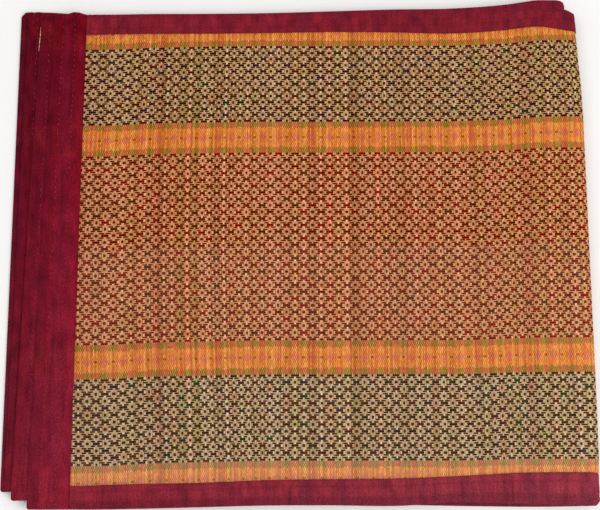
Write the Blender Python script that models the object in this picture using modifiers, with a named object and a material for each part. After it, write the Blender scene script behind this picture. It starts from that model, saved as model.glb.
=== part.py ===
"""Woven grass floor mat: two bound panels, folded at their centre strip and then in half.

Opened out, the mat is two woven panels side by side with a cloth strip between them.
It is folded along that strip, which leaves the inner panel under the outer one, and then
both are folded together to the left, round a soft bend at +X.
Run with: blender --background --python part.py
"""

import math
from collections import namedtuple

import bmesh
import bpy

MM = 0.001

# Thickness of each kind of piece, and gaps between pieces that lie on each other or butt
PANEL_THICKNESS = 2.0 * MM
CLOTH_THICKNESS = 1.0 * MM
SEAT_GAP = 0.3 * MM
BUTT_GAP = 0.5 * MM

# The bend at +X, measured to the middle of the outer panel
FOLD_RADIUS = 11.5 * MM
FOLD_REACH = 452.0 * MM
FOLD_STEPS = 8

# Cloth runs past the reeds as a soft flap, which the bend pulls in further than the reeds
FRONT_FLAP = 9.0 * MM
BACK_FLAP = 15.0 * MM
FRONT_PULL = 3.0 * MM
BACK_PULL = 20.0 * MM
PULL_LENGTH = 80.0 * MM
END_FLAP = 3.5 * MM
REED_CLEARANCE = 2.5 * MM

# How finely each piece is cut up
EDGE_STEPS = 6
TURN_STEPS = 4
ACROSS_PANEL = (0.0, 0.25, 0.5, 0.75, 1.0)
ACROSS_END_CLOTH = (0.0, 0.3, 0.6, 0.85)
ACROSS_FLAP = (0.3, 0.5, 0.7, 0.9)
UPWARD = math.pi / 2

# Middle of a binding from the middle of its panel, and what follows from it
WRAP = PANEL_THICKNESS / 2 + SEAT_GAP + CLOTH_THICKNESS / 2
HEM = WRAP + CLOTH_THICKNESS / 2
LAYER_PITCH = 2 * HEM + SEAT_GAP
FOLD_CENTRE_X = FOLD_REACH - HEM - FOLD_RADIUS
BACK_TURN = LAYER_PITCH / 2
BACK_QUARTER = BACK_TURN * math.pi / 2
BACK_REACH = BACK_TURN + HEM
SHEAR_LENGTH = BACK_FLAP - 1 * MM

OUTER_DEPTH = 0.0
INNER_DEPTH = LAYER_PITCH

# One row for each place along the mat, in millimetres: how far the outer panel's two halves
# are apart, where the edges lie, and how far the side cloths cover the reeds.
Row = namedtuple("Row", "x spacing front_outer front_inner back front_cloth back_cloth")
UPPER_HALF = (
    Row(-460, 15.9, -403.0, -391.5, 379, 33, 36),
    Row(-343, 15.9, -403.0, -391.5, 379, 33, 36),
    Row(-250, 15.9, -402.5, -391.0, 378, 35, 33),
    Row(-150, 16.9, -399.5, -391.0, 379, 34, 34),
    Row(-50, 17.5, -397.5, -391.5, 381, 36, 34),
    Row(50, 18.6, -398.0, -392.5, 385, 38, 35),
    Row(150, 19.2, -398.0, -394.0, 389, 39, 39),
    Row(250, 20.6, -396.0, -395.0, 393, 41, 44),
    Row(330, 21.9, -393.5, -395.0, 398, 43, 42),
    Row(390, 22.8, -393.5, -395.5, 403, 44, 44),
    Row(FOLD_CENTRE_X / MM, 2 * FOLD_RADIUS / MM, -394.5, -394.5, 403, 45, 47),
)
LOWER_HALF = (
    Row(FOLD_CENTRE_X / MM, 2 * FOLD_RADIUS / MM, -397.5, -397.5, 403, 45, 47),
    Row(390, 22.8, -400.5, -398.0, 402.0, 44, 44),
    Row(280, 20.0, -400.5, -395.0, 396.5, 42, 42),
    Row(150, 20.0, -398.0, -393.0, 390.0, 40, 40),
    Row(0, 20.0, -393.0, -389.0, 384.5, 38, 38),
    Row(-150, 20.0, -387.0, -384.0, 381.0, 36, 36),
    Row(-300, 20.0, -381.5, -380.0, 380.5, 34, 36),
    Row(-370, 20.0, -379.5, -379.0, 384.5, 33, 36),
    Row(-460, 20.0, -378.0, -378.0, 387.5, 33, 36),
)

# Where each half of each panel ends at -X, and where the end cloth stops on the reeds
End = namedtuple("End", "at_front at_back cloth")
UPPER_OUTER = End(-406.0, -396.0, -343.0)
UPPER_INNER = End(-431.0, -418.5, -365.0)
LOWER_INNER = End(-443.0, -441.0, -386.0)
LOWER_OUTER = End(-452.0, -452.0, -395.0)

# Colour and roughness of each kind of piece
WOVEN_GRASS = ((0.55, 0.36, 0.17, 1.0), 0.6)
BINDING_CLOTH = ((0.22, 0.015, 0.035, 1.0), 0.8)

Station = namedtuple("Station", "row bend")


def mix(first, last, share):
    """The value, or the row of values, that lies the given share of the way along."""
    if isinstance(first, tuple):
        return type(first)(*(mix(a, b, share) for a, b in zip(first, last)))
    return first + (last - first) * share


def smooth(share):
    """A soft step from 0 to 1."""
    share = min(max(share, 0.0), 1.0)
    return share * share * (3.0 - 2.0 * share)


def row_at(half, x_mm):
    """The row of one half of the mat at a place between two of its rows."""
    for first, last in zip(half, half[1:]):
        low, high = sorted((first.x, last.x))
        if low <= x_mm <= high:
            return mix(first, last, (x_mm - first.x) / (last.x - first.x))
    raise ValueError(f"no row at {x_mm}")


def stations(upper_mm, lower_mm, clear_upper, clear_lower):
    """Stations from the upper end, round the bend, to the lower end of one lengthwise line."""
    line = [Station(row_at(UPPER_HALF, upper_mm), UPWARD)]
    line += [Station(row, UPWARD) for row in UPPER_HALF if row.x > clear_upper]
    for step in range(1, FOLD_STEPS):
        share = step / FOLD_STEPS
        row = mix(UPPER_HALF[-1], LOWER_HALF[0], share)
        line.append(Station(row, mix(UPWARD, -UPWARD, share)))
    line += [Station(row, -UPWARD) for row in LOWER_HALF if row.x > clear_lower]
    line.append(Station(row_at(LOWER_HALF, lower_mm), -UPWARD))
    return line


def pulled(x, pull):
    """Draw a flap in from the bend, fading out along the mat."""
    return x - pull * smooth((x - FOLD_CENTRE_X + PULL_LENGTH) / PULL_LENGTH)


def place(station, depth, y, pull=0.0):
    """Point of the folded stack, by its depth inside the middle of the outer panel."""
    half = station.row.spacing * MM / 2
    x = pulled(station.row.x * MM, pull) + (half - depth) * math.cos(station.bend)
    z = HEM + half + (half - depth) * math.sin(station.bend)
    return x, y, z


def back_wrap(along, offset):
    """Path over the back fold, from its crown: distance behind its centre, and depth."""
    radius = BACK_TURN + offset
    if along < -BACK_QUARTER:
        return along + BACK_QUARTER, -offset
    if along > BACK_QUARTER:
        return BACK_QUARTER - along, LAYER_PITCH + offset
    angle = along / BACK_TURN
    return radius * math.cos(angle), BACK_TURN + radius * math.sin(angle)


def round_edge():
    """Distance in from the hem and offset from the panel, round the hem's edge."""
    for step in range(EDGE_STEPS + 1):
        angle = math.pi * step / EDGE_STEPS
        yield HEM - WRAP * math.sin(angle), WRAP * math.cos(angle)


def new_sheet(name, points, thickness, look, collection):
    """Bend a flat grid onto rows of points, and give it its thickness."""
    columns = len(points)
    rows = len(points[0])
    grid = bmesh.new()
    bmesh.ops.create_grid(grid, x_segments=columns - 1, y_segments=rows - 1, size=0.5)
    for vert in grid.verts:
        column = round((vert.co.x + 0.5) * (columns - 1))
        row = round((vert.co.y + 0.5) * (rows - 1))
        vert.co = points[column][row]
    mesh = bpy.data.meshes.new(name)
    grid.to_mesh(mesh)
    grid.free()
    mesh.shade_smooth()
    material = bpy.data.materials.new(name)
    material.use_nodes = True
    finish = material.node_tree.nodes["Principled BSDF"]
    finish.inputs["Base Color"].default_value, finish.inputs["Roughness"].default_value = look
    finish.inputs["Metallic"].default_value = 0.0
    mesh.materials.append(material)
    sheet = bpy.data.objects.new(name, mesh)
    collection.objects.link(sheet)
    wall = sheet.modifiers.new("Thickness", "SOLIDIFY")
    wall.thickness = thickness
    wall.offset = 0.0
    wall.use_even_offset = True
    return sheet


def end_at(end, share):
    """Where an end lies, the given share of the way from the front to the back."""
    return mix(end.at_front, end.at_back, share)


def woven_panel(name, depth, front, ends, collection):
    """One woven panel, from its upper end round the bend to its lower end."""
    upper, lower = ends
    points = []
    for share in ACROSS_PANEL:
        upper_mm = end_at(upper, share) + END_FLAP / MM
        lower_mm = end_at(lower, share) + END_FLAP / MM
        line = []
        for station in stations(upper_mm, lower_mm, upper.cloth - 1, lower.cloth - 1):
            edge = getattr(station.row, front) * MM + FRONT_FLAP + REED_CLEARANCE
            back = station.row.back * MM - BACK_FLAP - REED_CLEARANCE
            line.append(place(station, depth, mix(edge, back, share)))
        points.append(line)
    return new_sheet(name, points, PANEL_THICKNESS, WOVEN_GRASS, collection)


def side_binding(name, depth, front, ends, collection):
    """Cloth folded over the front edge of one panel, from end cloth to end cloth."""
    gap = BUTT_GAP / MM
    upper_mm, lower_mm = (end.cloth + gap for end in ends)
    line = stations(upper_mm, lower_mm, upper_mm + 1, lower_mm + 1)
    flap = [(FRONT_FLAP, WRAP), *round_edge(), (FRONT_FLAP, -WRAP)]
    points = []
    for side, offset in ((None, WRAP), *flap, (None, -WRAP)):
        row = []
        for station in line:
            inward = station.row.front_cloth * MM if side is None else side
            y = getattr(station.row, front) * MM + inward
            pull = FRONT_PULL * smooth(1 - (y - station.row.front_outer * MM) / FRONT_FLAP)
            row.append(place(station, depth - offset, y, pull))
        points.append(row)
    return new_sheet(name, points, CLOTH_THICKNESS, BINDING_CLOTH, collection)


def over_to_inner(along):
    """Share of the way from the outer panel to the inner one, over the back fold."""
    return smooth(0.5 + along / (2 * SHEAR_LENGTH))


def turn_rows():
    """Places round the back fold itself."""
    return [BACK_QUARTER * step / TURN_STEPS for step in range(-TURN_STEPS, TURN_STEPS + 1)]


def centre_strip(name, collection):
    """The strip that joins the two panels, folded over the back edges of both."""
    gap = BUTT_GAP / MM
    flap_rows = [BACK_FLAP * share for share in ACROSS_FLAP]
    paths = [None, *(-flap for flap in reversed(flap_rows)), *turn_rows(), *flap_rows, None]
    points = []
    for index, path in enumerate(paths):
        line = []
        share = float(index > len(paths) / 2) if path is None else over_to_inner(path)
        upper_mm = mix(UPPER_OUTER.cloth, UPPER_INNER.cloth, share) + gap
        lower_mm = mix(LOWER_OUTER.cloth, LOWER_INNER.cloth, share) + gap
        for station in stations(upper_mm, lower_mm, UPPER_OUTER.cloth + 1, LOWER_INNER.cloth + 1):
            along = path
            if path is None:
                along = BACK_REACH - BACK_QUARTER - station.row.back_cloth * MM
                along *= 1 if index == 0 else -1
            behind, depth = back_wrap(along, WRAP)
            pull = BACK_PULL * smooth(1 - (BACK_REACH - behind) / BACK_FLAP)
            y = station.row.back * MM - BACK_REACH + behind
            line.append(place(station, depth, y, pull))
        points.append(line)
    return new_sheet(name, points, CLOTH_THICKNESS, BINDING_CLOTH, collection)


def end_paths(front_outer, front_inner, back):
    """Places along an end cloth: along the outer panel, over the back fold, and back."""
    outer = back - BACK_REACH - front_outer + BACK_QUARTER
    inner = back - BACK_REACH - front_inner + BACK_QUARTER
    flap_rows = [BACK_FLAP * share for share in ACROSS_FLAP]
    paths = [-mix(outer, SHEAR_LENGTH, share) for share in ACROSS_END_CLOTH]
    paths += [-flap for flap in reversed(flap_rows)] + turn_rows() + flap_rows
    paths += [mix(inner, SHEAR_LENGTH, share) for share in reversed(ACROSS_END_CLOTH)]
    return paths


def end_binding(name, half, bend, outer, inner, collection):
    """Cloth folded over the ends of both panels, itself folded at the back."""
    sample = row_at(half, outer.cloth)
    edges = (sample.front_outer * MM, sample.front_inner * MM, sample.back * MM)
    points = []
    for along in end_paths(*edges):
        share = over_to_inner(along)
        behind = back_wrap(along, 0.0)[0]
        across = 1 + behind / (edges[2] - edges[0])
        hem_mm = mix(end_at(outer, across), end_at(inner, across), share)
        cloth_mm = mix(outer.cloth, inner.cloth, share)
        section = []
        for inward, offset in ((None, WRAP), *round_edge(), (None, -WRAP)):
            x_mm = cloth_mm if inward is None else hem_mm + inward / MM
            behind, depth = back_wrap(along, offset)
            station = Station(row_at(half, x_mm), bend)
            section.append(place(station, depth, edges[2] - BACK_REACH + behind))
        points.append(section)
    return new_sheet(name, points, CLOTH_THICKNESS, BINDING_CLOTH, collection)


def clear_scene():
    for leftover in list(bpy.data.objects):
        bpy.data.objects.remove(leftover, do_unlink=True)


def main():
    clear_scene()
    mat = bpy.data.collections.new("woven_grass_floor_mat")
    bpy.context.scene.collection.children.link(mat)
    outer_ends = (UPPER_OUTER, LOWER_OUTER)
    inner_ends = (UPPER_INNER, LOWER_INNER)
    woven_panel("panel_outer", OUTER_DEPTH, "front_outer", outer_ends, mat)
    woven_panel("panel_inner", INNER_DEPTH, "front_inner", inner_ends, mat)
    centre_strip("centre_strip", mat)
    side_binding("side_binding_outer", OUTER_DEPTH, "front_outer", outer_ends, mat)
    side_binding("side_binding_inner", INNER_DEPTH, "front_inner", inner_ends, mat)
    end_binding("end_binding_upper", UPPER_HALF, UPWARD, UPPER_OUTER, UPPER_INNER, mat)
    end_binding("end_binding_lower", LOWER_HALF, -UPWARD, LOWER_OUTER, LOWER_INNER, mat)


main()
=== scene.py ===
"""Folded woven grass floor mat: reeds, binding cloth, stitches and finishes round its frame.

The file is laid out as an add-on and is run as a script. Each sheet lies on the folds of
its solid: a place along the mat, from the upper end round the bend to the lower end, and a
place across it, give a point of the folded stack. One UV map, counted in reeds along the mat
and in warp threads across it, carries every woven pattern.
"""

import math
from collections import namedtuple

import bpy
import numpy as np
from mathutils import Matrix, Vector


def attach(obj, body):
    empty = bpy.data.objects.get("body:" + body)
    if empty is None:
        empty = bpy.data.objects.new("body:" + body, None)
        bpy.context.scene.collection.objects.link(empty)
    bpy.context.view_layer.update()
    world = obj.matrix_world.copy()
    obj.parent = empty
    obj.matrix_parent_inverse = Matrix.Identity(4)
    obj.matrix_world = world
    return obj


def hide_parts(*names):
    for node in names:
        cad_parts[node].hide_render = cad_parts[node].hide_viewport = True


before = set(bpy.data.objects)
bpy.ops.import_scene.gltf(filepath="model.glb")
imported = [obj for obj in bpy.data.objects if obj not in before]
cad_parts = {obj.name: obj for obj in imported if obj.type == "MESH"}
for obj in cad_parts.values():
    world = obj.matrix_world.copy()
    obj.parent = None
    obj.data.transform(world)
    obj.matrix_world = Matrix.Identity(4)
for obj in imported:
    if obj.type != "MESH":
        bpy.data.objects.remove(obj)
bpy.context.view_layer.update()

bl_info = {
    "name": "Folded woven grass mat",
    "version": (1, 0, 0),
    "blender": (4, 5, 0),
    "location": "3D View > Sidebar > Mat",
    "description": "Builds a folded woven grass floor mat with bound edges round its solids",
    "category": "Object",
}

MM = 0.001
QUARTER_TURN = math.pi / 2

# Thicknesses and gaps of the solids, the bend at +X and the hidden flaps, as the frame has them
PANEL_THICKNESS = 2.0 * MM
CLOTH_THICKNESS = 1.0 * MM
SEAT_GAP = 0.3 * MM
FOLD_RADIUS = 11.5 * MM
FOLD_REACH = 452.0 * MM
PULL_LENGTH = 80.0 * MM
FRONT_FLAP = 9.0 * MM
BACK_FLAP = 15.0 * MM
END_FLAP = 3.5 * MM
REED_CLEARANCE = 2.5 * MM

WRAP = PANEL_THICKNESS / 2 + SEAT_GAP + CLOTH_THICKNESS / 2
HEM = WRAP + CLOTH_THICKNESS / 2
LAYER_PITCH = 2 * HEM + SEAT_GAP
FOLD_CENTRE_X = FOLD_REACH - HEM - FOLD_RADIUS
BACK_TURN = LAYER_PITCH / 2
BACK_QUARTER = BACK_TURN * math.pi / 2
BACK_REACH = BACK_TURN + HEM
OUTER_DEPTH = 0.0
INNER_DEPTH = LAYER_PITCH

# The strip goes over from the outer panel to the inner one mostly inside the back fold
SHEAR_START = 4.0 * MM
SHEAR_LENGTH = BACK_FLAP - 1 * MM

# Softer than the solids: the gap where a cloth butts on an end cloth, the end cloths' rounded
# corners at the front and at the back fold, and, at the bend, how far the front cloth draws in
# at its hem and how far the edge beside it bulges out
BUTT_GAP = 0.2 * MM
CORNER_RADIUS = 4.0 * MM
CORNER_STEPS = CORNER_RADIUS * np.array([0.0, 0.05, 0.15, 0.3, 0.5, 0.75, 1.0])
BACK_CORNER_RADIUS = 7.0 * MM
BACK_CORNER_CUT = 0.6 * MM
FRONT_PULL = 2.5 * MM
FRONT_BULGE = 1.8 * MM

# One row for each place along the mat, in millimetres: how far the outer panel's halves are
# apart, the edges, how far the side cloths reach in, and the middle of the woven pattern
Row = namedtuple("Row", "x spacing front_outer front_inner back front_cloth back_cloth middle")
UPPER_HALF = (
    Row(-460, 15.9, -403.0, -391.5, 382.0, 33, 36, -7.9),
    Row(-388, 15.9, -403.0, -391.5, 382.0, 33, 36, -7.9),
    Row(-374, 15.9, -403.2, -391.5, 381.4, 33, 36, -7.9),
    Row(-362, 15.9, -403.0, -391.5, 385.0, 33, 36, -7.9),
    Row(-349, 15.9, -404.0, -391.5, 381.6, 34, 36, -7.9),
    Row(-325, 15.9, -404.6, -391.5, 381.0, 34.6, 35.5, -7.9),
    Row(-293, 15.9, -404.4, -391.3, 381.2, 35.6, 35, -7.3),
    Row(-250, 15.9, -403.7, -391.0, 382.0, 36.2, 35.2, -4.8),
    Row(-150, 16.9, -401.3, -391.0, 382.0, 35.8, 35.2, -2.5),
    Row(-50, 17.5, -398.7, -391.5, 383.0, 37.2, 35.4, -1.0),
    Row(50, 18.6, -398.3, -392.5, 385.5, 38.3, 36.5, -1.3),
    Row(150, 19.2, -399.0, -394.0, 388.5, 40, 40.4, -0.8),
    Row(250, 20.6, -393.2, -394.0, 389.7, 38.2, 44, -0.8),
    Row(330, 21.9, -393.9, -395.0, 395.0, 43.4, 44.5, 1.6),
    Row(390, 22.8, -396.8, -397.0, 402.5, 47.3, 46, 4.3),
    Row(FOLD_CENTRE_X / MM, 23.0, -398.4, -398.4, 403, 48.8, 54, 4.6),
)
LOWER_HALF = (
    Row(FOLD_CENTRE_X / MM, 23.0, -400.0, -400.0, 403, 47, 54, 4.6),
    Row(390, 22.8, -401.0, -399.0, 402.0, 44, 47, 3.0),
    Row(280, 20.0, -400.5, -395.0, 396.5, 42, 42, 1.5),
    Row(150, 20.0, -398.0, -393.0, 390.0, 40, 40, 3.0),
    Row(0, 20.0, -393.0, -389.0, 384.5, 38, 38, 5.0),
    Row(-150, 20.0, -387.0, -384.0, 381.0, 36, 36, 7.5),
    Row(-300, 20.0, -381.5, -380.0, 380.5, 34, 36, 9.5),
    Row(-370, 20.0, -379.5, -379.0, 386.5, 33, 36, 10.5),
    Row(-400, 20.0, -379.0, -378.5, 388.7, 33, 36, 10.8),
    Row(-460, 20.0, -378.0, -378.0, 388.9, 33, 36, 11.0),
)

# Where each half of each panel ends at -X, and where the end cloth stops on the reeds, in
# millimetres
End = namedtuple("End", "at_front at_back cloth")
UPPER_OUTER = End(-407.5, -396.0, -343.0)
UPPER_INNER = End(-433.3, -418.5, -365.0)
LOWER_INNER = End(-445.0, -441.0, -386.0)
LOWER_OUTER = End(-452.0, -453.5, -395.0)

# The weave: reeds in one repeat of the flower lattice, warp threads in one repeat, and
# how wide that repeat came out along the upper half, in millimetres
REEDS_PER_REPEAT = 16
THREADS_PER_REPEAT = 6
Repeat = namedtuple("Repeat", "x width")
REPEAT_WIDTHS = (
    Repeat(-460, 25.5),
    Repeat(-340, 27.0),
    Repeat(-280, 27.5),
    Repeat(-215, 24.8),
    Repeat(-120, 22.8),
    Repeat(-30, 25.9),
    Repeat(35, 27.5),
    Repeat(95, 24.8),
    Repeat(190, 24.1),
    Repeat(250, 26.2),
    Repeat(285, 24.2),
    Repeat(340, 24.3),
    Repeat(400, 22.2),
    Repeat(438, 22.2),
)

# A repeat's width on the lower half, the middle of one flower with that flower's number, both
# in millimetres, and how far past the mat's end the reeds are counted
REPEAT_WIDTH = 24.8
FLOWER_AT_X = 89.0
FLOWER_NUMBER = 20
PAST_THE_END = 20 * MM

# Zones of the weave from the middle outwards, counted in warp threads: the red flower
# field, a plain band, the dark flower zone, and the plain band at the edge
RED_THREADS = 42.0
BAND_THREADS = 15.4
DARK_THREADS = 36.0
ZONE_STEP = BAND_THREADS + DARK_THREADS
EDGE_THREADS = RED_THREADS + ZONE_STEP
# Part of a thread by which a flower zone reaches into a band, so that its last floats are whole
ZONE_MARGIN = 0.4

# How far from the middle those zones were beaten in, front and back, in millimetres, and the
# pitch of the threads beyond them
Beat = namedtuple("Beat", "thread y")
BEATS = (
    Beat(-EDGE_THREADS, -330.0),
    Beat(-RED_THREADS - BAND_THREADS, -203.0),
    Beat(-RED_THREADS, -148.0),
    Beat(0, 0.0),
    Beat(RED_THREADS, 147.5),
    Beat(RED_THREADS + BAND_THREADS, 201.0),
    Beat(EDGE_THREADS, 324.8),
)
THREAD_PITCH = 3.5 * MM

# How much wider than that the weave came out along the mat
Loose = namedtuple("Loose", "x share")
LOOSENESS = (
    Loose(-460, 0.0045), Loose(-320, 0.0045), Loose(-100, 0.002), Loose(0, 0.0), Loose(330, 0.0),
    Loose(390, 0.009), Loose(438, 0.009),
)

# How far the reeds were pushed along the mat, at its left and at the bend, in millimetres
Drift = namedtuple("Drift", "thread left bend")
DRIFTS = (
    Drift(-100, 12.0, -4.0),
    Drift(-75, 8.5, -3.6),
    Drift(-25, 1.2, -3.2),
    Drift(25, -2.1, -0.3),
    Drift(75, 0.8, 3.5),
    Drift(100, 1.5, 3.8),
)

# Where the left push has begun to die away and where the one at the bend begins, and over
# what length each does so
DRIFT_LEFT_X = -110.0 * MM
DRIFT_LEFT_LENGTH = 80.0 * MM
DRIFT_BEND_X = 325.0 * MM
DRIFT_BEND_LENGTH = 40.0 * MM

# How finely the sheets are cut up: along them, round their edges, and in shares across a cloth
REED_STEPS = 3
CLOTH_STEP = 2.0 * MM
UNSEEN_STEP = 6.0 * MM
END_STEP = 3.0 * MM
ACROSS_STEP = 2.5 * MM
EDGE_STEPS = 8
TURN_STEPS = 6
SECTION_STEP = 0.06
STRIP_SECTION_STEP = 0.1

# Rows of points across a panel: shares of its width, or thread numbers beyond one
PANEL_STOPS = (
    0.0, -EDGE_THREADS, -75, -RED_THREADS - BAND_THREADS, -RED_THREADS, 0.5,
    RED_THREADS, RED_THREADS + BAND_THREADS, 72, 84, EDGE_THREADS, 0.97, 0.985, 1.0,
)
MIDDLE_ROW = PANEL_STOPS.index(0.5)

# A panel's end is cut aslant, which is taken up over this length. Its bow at the bend grows
# from the front over a share of its width, and is gone again before the back corner
SLANT_LENGTH = 40 * MM
BOW_GROWTH = 0.1
BOW_END = 0.945
BOW_FADE = 0.15

# Reed heights that a panel's wall is thinner, so that its ribs end at its thickness
RIB_ROOM = 2.2

# Seams on the cloths, as shares of the way from the hem to the cloth's edge on the reeds
SIDE_SEAMS = (0.27, 0.72)
STRIP_SEAMS = (0.5,)
END_SEAMS = (0.27, 0.65)

# How far the layers draw in from the bend beside the back fold, from its crown inwards, in
# millimetres
Corner = namedtuple("Corner", "inward pull")
BACK_CORNER = (
    Corner(-1, 25.0), Corner(0, 24.0), Corner(2, 20.5), Corner(5, 19.0), Corner(12, 18.5),
    Corner(16.5, 18.0), Corner(17.5, 15.5), Corner(19.4, 10.5), Corner(22.3, 4.4),
    Corner(26.7, 2.8), Corner(36, 2.3), Corner(50, 1.7), Corner(60, 0.0), Corner(80, 0.0),
)

# Creases in the cloth, in millimetres and degrees from +X
Crease = namedtuple("Crease", "x y angle length width")
CREASES = (
    Crease(-293, -386, 90, 34, 2.0),
    Crease(-12, -384, 88, 30, 2.4),
    Crease(205, -378, 91, 36, 1.8),
    Crease(246, -376, 92, 36, 1.8),
    Crease(321, -375, 90, 38, 2.2),
    Crease(-290, 358, 90, 12, 1.6),
    Crease(274, 372, 91, 40, 2.0),
    Crease(339, 362, 90, 20, 2.2),
    Crease(413, 388, 90, 26, 2.0),
    Crease(-372, 366, 40, 26, 2.6),
    Crease(-380, 358, 80, 22, 2.2),
    Crease(-352, 360, 110, 26, 2.2),
    Crease(-364, 250, 88, 90, 2.0),
    Crease(-371, 40, 91, 150, 2.2),
    Crease(-378, -180, 89, 120, 2.0),
    Crease(-356, -240, 90, 80, 1.8),
)

# The UV map in reeds and threads, and what is stored at the points of cloths and seam lines
WEAVE_MAP = "Weave"
SHADE = "Shade"
OUTWARD = "outward"

# Share of the light lost along a seam, on the hem outside the first seam, and in a crease,
# with the shares of the cloth's width over which the first two fade
SEAM_SHADE = 0.12
SEAM_SHADE_WIDTH = 0.05
HEM_SHADE = 0.2
HEM_SHADE_EDGE = 0.06
CREASE_SHADE = 0.3

# How a cloth puffs up: held down along its seams and less at its hem, in shares of its width,
# and gathered unevenly along it, aslant
PINCH_WIDTH = 0.07
HEM_PUFF = 0.35
HEM_PUFF_WIDTH = 0.15
GATHER_DEPTH = 0.45
GATHER_SLANT = 9 * MM
GATHER_LENGTHS = (11 * MM, 23 * MM, 57 * MM)

# A crease's lip: how many widths off, how high it stands, and how far the crease goes in
LIP_OFF = 2.0
LIP_RISE = 0.9
CREASE_FALL = 0.3

# A layer faces up where its normal's rise is more than this. The front hem droops over a
# length in from its line, the strip is free from a line inwards, and an end cloth is eased in
# to the back edge and free to puff a little outside the layer that covers it
FACES_UP = 0.3
DROOP_LENGTH = 11 * MM
STRIP_FREE_FROM = 4 * MM
STRIP_FREE_OVER = 6 * MM
BACK_EASE = 60 * MM
COVER_EASE = 5 * MM

# Stitches: how far a seam's line stands off the cloth, how free the cloth has to be there,
# how far a stitch strays, how flat it is, how uneven in length, and the chance, from -1 to 1,
# below which one has sunk out of sight
STITCH_STAND = 0.1 * MM
STITCH_FREE = 0.6
STITCH_STRAY = 0.9 * MM
STITCH_FLATNESS = 0.8
STITCH_UNEVENNESS = 0.45
STITCH_SUNK = -0.45

# The loose straw: its ends, how it is cut up, and how far it wavers
STRAW_START = (-418 * MM, 359 * MM, 16.6 * MM)
STRAW_END = (-419 * MM, 318 * MM, 16.6 * MM)
STRAW_RINGS = 40
STRAW_SIDES = 8
STRAW_WAVER = 0.3 * MM

# The stage, in metres: half the floor's side, how far it lies below the mat and what the camera
# looks at; the sensor's width in millimetres; the strength of the room's light; and the lamps,
# with their shares of the key light's power
FLOOR_REACH = 6.0
FLOOR_DROP = 0.3 * MM
LOOK_AT = (3 * MM, -17 * MM, 20 * MM)
SENSOR_WIDTH = 36
ROOM_LIGHT = 0.75
Lamp = namedtuple("Lamp", "name place size share")
LAMPS = (
    Lamp("key_light", (1.3, -0.9, 2.4), 1.6, 1.0),
    Lamp("fill_light", (-1.5, 1.2, 2.6), 2.2, 0.4),
)

# Places along the mat with their rows and the way their layers face, a cloth's grid of points
# with its section and how free it is to puff, and a cloth that has settled
Line = namedtuple("Line", "row bend mat")
Cloth = namedtuple("Cloth", "points weave section free")
Settled = namedtuple("Settled", "node cloth outward shade seams cotton")


def linear_colour(code):
    """Linear RGBA of an sRGB hex colour."""
    parts = [int(code[place : place + 2], 16) / 255 for place in (1, 3, 5)]
    linear = [part / 12.92 if part <= 0.04045 else ((part + 0.055) / 1.055) ** 2.4 for part in parts]
    return (*linear, 1.0)


def colour_setting(name, code, description):
    """A colour that a user can change, from its sRGB hex value."""
    return bpy.props.FloatVectorProperty(
        name=name, description=description, subtype="COLOR", size=4, min=0, max=1,
        default=linear_colour(code),
    )


def length_setting(name, size, description):
    """A length that a user can change, in metres."""
    return bpy.props.FloatProperty(
        name=name, description=description, unit="LENGTH", precision=5, min=0, default=size
    )


class MatWeaveSettings(bpy.types.PropertyGroup):
    """Sizes and colours of the woven reeds."""

    reed_height: length_setting(
        "Reed height", 0.25 * MM, "How far a reed stands out of the panel's face"
    )
    straw_width: length_setting("Straw width", 1.3 * MM, "Width of the loose straw")
    bow: length_setting("Bow", 5.5 * MM, "How far the reeds bulge out of the bend between the cloths")
    unevenness: bpy.props.FloatProperty(
        name="Unevenness", description="How much the reeds differ in height", default=0.5, min=0, max=1
    )
    straw: colour_setting("Straw", "#BC936B", "Natural reeds in the dark zones")
    front_straw: colour_setting("Front straw", "#BA9A76", "Natural reeds in the front dark zone")
    red_field_straw: colour_setting("Field straw", "#CA8A61", "Reeds in the red field")
    red_thread: colour_setting("Red thread", "#5E0E00", "Eyes of the stars in the bands")
    band_orange: colour_setting("Band orange", "#D66020", "Orange reeds in the bands")
    band_yellow: colour_setting("Band yellow", "#DE984C", "Yellow reeds in the bands")
    band_green: colour_setting("Band green", "#666A22", "Green blocks along the bands")
    band_red: colour_setting("Band red", "#A8523A", "Red blocks along the bands")
    band_pink: colour_setting("Band pink", "#C2505A", "Pink diamonds in the bands")


class MatClothSettings(bpy.types.PropertyGroup):
    """Sizes and colours of the binding cloth and its stitching."""

    pucker: length_setting("Pucker", 1.1 * MM, "How far the cloth puffs up between its seams")
    crease: length_setting("Crease", 1.0 * MM, "How deep the creases across the cloth are")
    droop: length_setting("Droop", 1.4 * MM, "How far the front hem hangs below its panel")
    stitch_pitch: length_setting("Stitch pitch", 8.5 * MM, "From one stitch to the next")
    stitch_length: length_setting("Stitch length", 3.4 * MM, "Length of one stitch")
    thread_width: length_setting("Thread width", 0.8 * MM, "Width of the sewing thread")
    # The front colours hold painted light and the back colours painted shade, the mat being lit from the
    # front
    front_maroon_painted_light: colour_setting("Front maroon", "#832232", "Side cotton at the front")
    back_maroon_painted_shade: colour_setting("Back maroon", "#7B192A", "Side cotton at the back")
    end_front_maroon_painted_light: colour_setting("End front maroon", "#8A1D30", "End cotton at the front")
    end_back_maroon_painted_shade: colour_setting("End back maroon", "#700016", "End cotton at the back")
    # The under colours are the end colours darkened: painted shade on the lower layer, under the upper one
    under_front_maroon_painted_shade: colour_setting("Under front maroon", "#7E1A2C", "Lower end, front")
    under_back_maroon_painted_shade: colour_setting("Under back maroon", "#660018", "Lower end, back")
    end_thread: colour_setting("End thread", "#964A5A", "Sewing thread of the end cloths")
    side_thread: colour_setting("Side thread", "#641626", "Sewing thread of the other cloths")


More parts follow.
